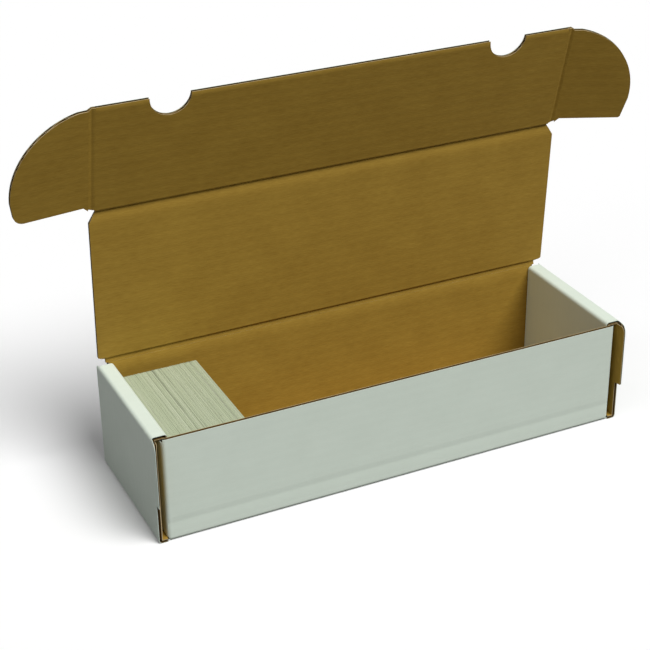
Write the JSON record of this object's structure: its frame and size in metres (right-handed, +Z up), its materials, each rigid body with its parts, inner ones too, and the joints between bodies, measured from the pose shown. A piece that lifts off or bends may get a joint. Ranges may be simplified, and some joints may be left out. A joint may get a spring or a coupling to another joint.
{
  "type": "folding trading card storage box",
  "caption": "Long corrugated box with a hinged lid, a tuck-over front flap with ears and finger notches, roll-over end walls, and a row of cards inside.",
  "frame": {"origin": "middle of the underside of the box's bottom", "axes": "+X to the right along the box, +Y from the front wall to the back wall, +Z up"},
  "size_m": [0.4203, 0.1053, 0.2516],
  "materials": {
    "board": "matt white liner outside, brown kraft inside and at the cut edges",
    "cards": "edges of coated white card stock"
  },
  "bodies": {
    "tray": {"bottom_panel": "board", "front_wall": "board", "back_wall": "board", "corner_tab_front_left": "board", "corner_tab_front_right": "board", "corner_tab_back_left": "board", "corner_tab_back_right": "board", "end_wall_outer_left": "board", "end_wall_outer_right": "board", "end_ridge_left": "board", "end_ridge_right": "board", "end_wall_inner_left": "board", "end_wall_inner_right": "board"},
    "lid": {"lid_panel": "board"},
    "flap": {"front_flap": "board"},
    "left_ear": {"ear_left": "board"},
    "right_ear": {"ear_right": "board"},
    "cards": {"card_stack": "cards"}
  },
  "joints": [
    {"name": "lid_hinge", "type": "hinge", "parent": "tray", "child": "lid", "pos_m": [0, 0.0505, 0.0759], "axis": [-1, 0, 0], "range_deg": [-86.5, 93.5]},
    {"name": "flap_hinge", "type": "hinge", "parent": "lid", "child": "flap", "pos_m": [0, 0.04417, 0.17941], "axis": [-1, 0, 0], "range_deg": [-78.5, 11.5]},
    {"name": "left_ear_hinge", "type": "hinge", "parent": "flap", "child": "left_ear", "pos_m": [-0.1606, 0.04417, 0.17941], "axis": [0, 0.2588, -0.9659], "range_deg": [-85, 5]},
    {"name": "right_ear_hinge", "type": "hinge", "parent": "flap", "child": "right_ear", "pos_m": [0.1606, 0.04417, 0.17941], "axis": [0, -0.2588, 0.9659], "range_deg": [-75, 15]},
    {"name": "card_lift", "type": "slide", "parent": "tray", "child": "cards", "axis": [0, 0, 1], "range_m": [0, 0.09]}
  ]
}
